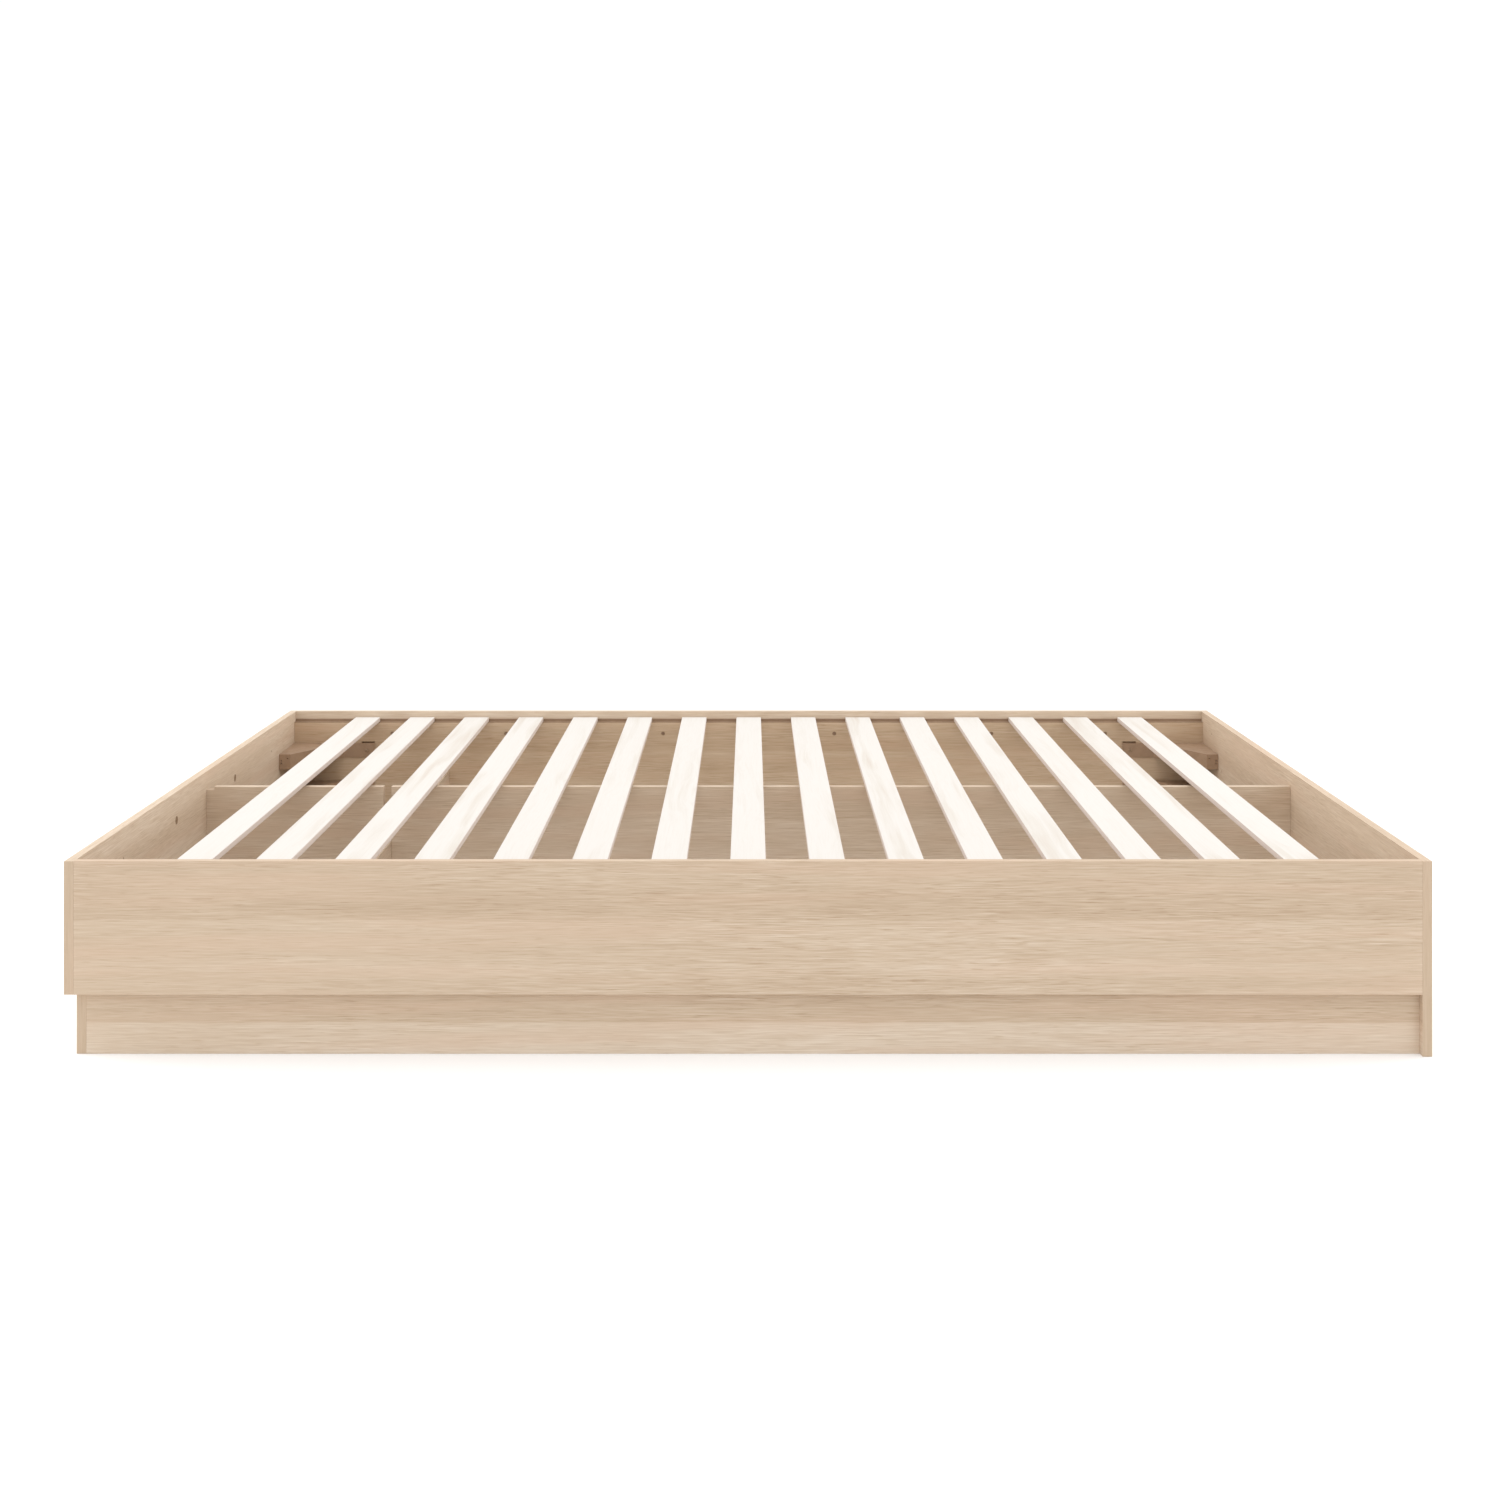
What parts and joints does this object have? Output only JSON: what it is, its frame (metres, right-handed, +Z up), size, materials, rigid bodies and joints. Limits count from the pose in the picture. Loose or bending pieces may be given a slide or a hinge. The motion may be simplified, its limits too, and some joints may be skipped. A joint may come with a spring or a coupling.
{
  "type": "bed frame",
  "caption": "Low platform bed frame of oak-faced boards with a recessed plinth, cross slats, a centre support board and steel corner brackets.",
  "frame": {"origin": "on the floor, at the middle of the frame's length and width", "axes": "+X towards the full-height head panel, +Y towards the rear side, +Z up"},
  "size_m": [2.1, 1.58, 0.3],
  "materials": {
    "oak_board": "matt oak-grain facing, straight grain along each board",
    "pale_slat": "planed pale softwood, unfinished",
    "bracket_steel": "satin brown powder coat",
    "zinc_screw": "zinc plated",
    "dark_screw": "dark bronze, satin"
  },
  "bodies": {
    "root": {"outer_rail_front": "oak_board", "outer_rail_rear": "oak_board", "inner_side_board_front": "oak_board", "inner_side_board_rear": "oak_board", "foot_panel": "oak_board", "head_panel": "oak_board", "foot_plinth_board": "oak_board", "centre_board_foot": "oak_board", "centre_board_head": "oak_board", "cross_board": "oak_board", "slat_01": "pale_slat", "slat_02": "pale_slat", "slat_03": "pale_slat", "slat_04": "pale_slat", "slat_05": "pale_slat", "slat_06": "pale_slat", "slat_07": "pale_slat", "slat_08": "pale_slat", "slat_09": "pale_slat", "slat_10": "pale_slat", "slat_11": "pale_slat", "slat_12": "pale_slat", "slat_13": "pale_slat", "slat_14": "pale_slat", "slat_15": "pale_slat", "bracket_foot_front_upper": "bracket_steel", "bracket_foot_rear_upper": "bracket_steel", "bracket_head_front_upper": "bracket_steel", "bracket_head_rear_upper": "bracket_steel", "bracket_foot_front_lower": "bracket_steel", "bracket_foot_rear_lower": "bracket_steel", "bracket_head_front_lower": "bracket_steel", "bracket_head_rear_lower": "bracket_steel", "slat_seat_angle_front": "bracket_steel", "slat_seat_angle_rear": "bracket_steel", "bracket_screw_foot_front_upper": "zinc_screw", "bracket_screw_foot_rear_upper": "zinc_screw", "bracket_screw_head_front_upper": "zinc_screw", "bracket_screw_head_rear_upper": "zinc_screw", "bracket_screw_foot_front_lower": "zinc_screw", "bracket_screw_foot_rear_lower": "zinc_screw", "bracket_screw_head_front_lower": "zinc_screw", "bracket_screw_head_rear_lower": "zinc_screw", "rail_screw_front_1": "dark_screw", "rail_screw_front_2": "dark_screw", "rail_screw_front_3": "dark_screw", "rail_screw_front_4": "dark_screw", "rail_screw_front_5": "dark_screw", "rail_screw_front_6": "dark_screw", "rail_screw_rear_1": "dark_screw", "rail_screw_rear_2": "dark_screw", "rail_screw_rear_3": "dark_screw", "rail_screw_rear_4": "dark_screw", "rail_screw_rear_5": "dark_screw", "rail_screw_rear_6": "dark_screw", "foot_panel_cam_front": "dark_screw", "foot_panel_cam_rear": "dark_screw"}
  },
  "joints": []
}
